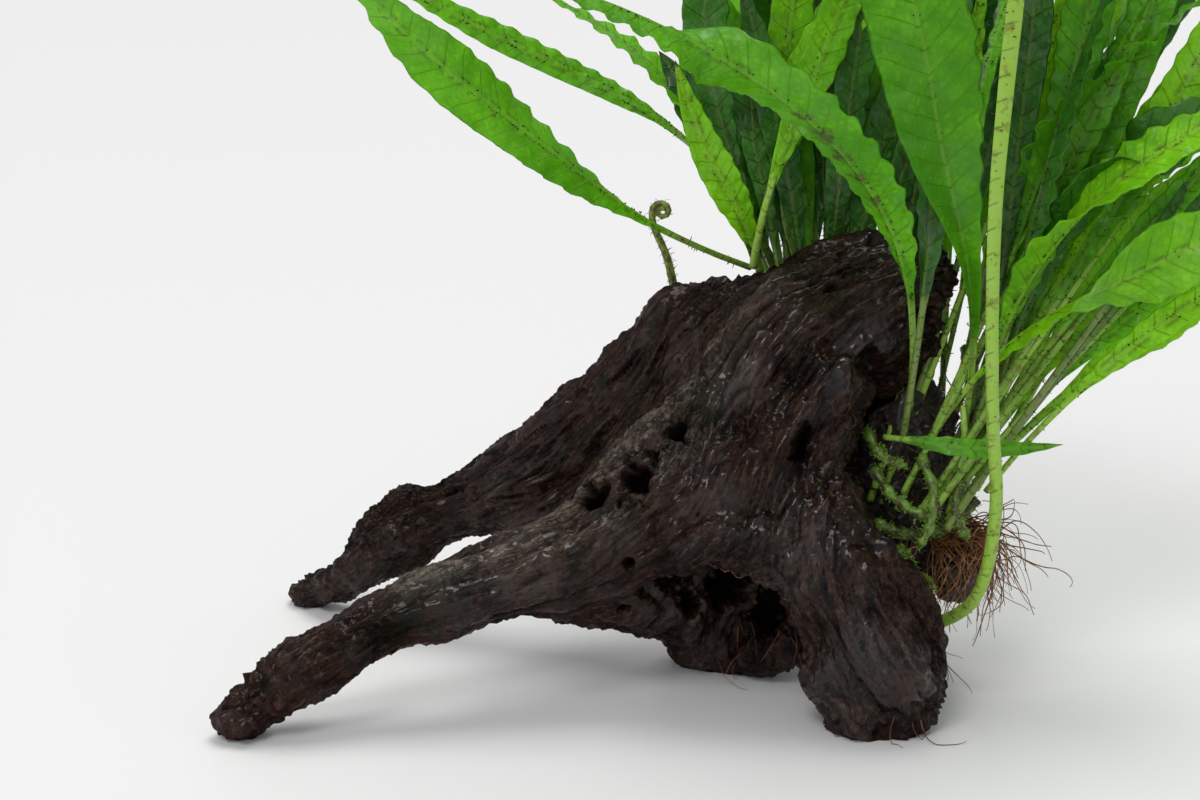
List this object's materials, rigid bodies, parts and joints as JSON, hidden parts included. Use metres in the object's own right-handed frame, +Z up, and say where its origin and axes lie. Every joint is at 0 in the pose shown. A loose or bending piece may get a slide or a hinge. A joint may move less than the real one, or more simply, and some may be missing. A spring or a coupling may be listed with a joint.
{
  "type": "java fern on driftwood",
  "caption": "Java fern with leathery wavy fronds, growing from creeping rhizomes on a dark wet piece of branched driftwood root that stands on its own legs.",
  "frame": {"origin": "bottom centre of the whole piece's box, at the height of the surface the driftwood stands on", "axes": "+Z up; +X towards the crown end that the fern grows over; -Y towards the front face, with the long legs pointing to -X"},
  "size_m": [0.303, 0.1882, 0.272],
  "materials": {
    "driftwood": "satin",
    "leaf_bright": "satin",
    "leaf_dark": "gloss",
    "leaf_green": "satin",
    "petiole_pale": "satin",
    "rhizome_green": "satin",
    "soil": "matte"
  },
  "bodies": {
    "root": {"fiddlehead": "rhizome_green", "frond_arching": "leaf_green", "frond_back_1": "leaf_green", "frond_back_2": "leaf_dark", "frond_back_3": "leaf_green", "frond_back_4": "leaf_dark", "frond_back_5": "leaf_green", "frond_back_6": "leaf_dark", "frond_back_7": "leaf_green", "frond_broad": "leaf_green", "frond_crown_1": "leaf_dark", "frond_crown_10": "leaf_dark", "frond_crown_2": "leaf_green", "frond_crown_3": "leaf_dark", "frond_crown_4": "leaf_dark", "frond_crown_5": "leaf_green", "frond_crown_6": "leaf_dark", "frond_crown_7": "leaf_dark", "frond_crown_8": "leaf_green", "frond_crown_9": "leaf_dark", "frond_dark_upright": "leaf_dark", "frond_dart": "leaf_green", "frond_hairy": "leaf_bright", "frond_left_far": "leaf_green", "frond_left_low": "leaf_green", "frond_mid_fork_left": "leaf_green", "frond_mid_fork_right": "leaf_bright", "frond_mid_upright": "leaf_bright", "frond_rib_dotted": "leaf_bright", "frond_right_back": "leaf_green", "frond_right_big": "leaf_dark", "frond_right_clear": "leaf_bright", "frond_right_glossy": "leaf_dark", "frond_right_low": "leaf_bright", "frond_right_pale": "leaf_bright", "frond_right_steep": "leaf_dark", "frond_right_under": "leaf_green", "frond_right_wavy": "leaf_green", "frond_side_1": "leaf_green", "frond_side_2": "leaf_bright", "frond_side_3": "leaf_dark", "frond_side_4": "leaf_green", "frond_side_5": "leaf_bright", "frond_small_upright": "leaf_bright", "frond_stalk": "leaf_dark", "frond_tall": "petiole_pale", "frond_thin_stalk": "leaf_green", "rhizome_back": "rhizome_green", "rhizome_low": "rhizome_green", "rhizome_shoot": "rhizome_green", "rhizome_side": "rhizome_green", "root_ball": "soil", "root_clump": "soil", "wood_back_foot": "driftwood", "wood_crown": "driftwood", "wood_front_foot": "driftwood", "wood_front_leg": "driftwood", "wood_heel": "driftwood", "wood_rear_leg": "driftwood", "young_shoot": "rhizome_green"}
  },
  "joints": []
}
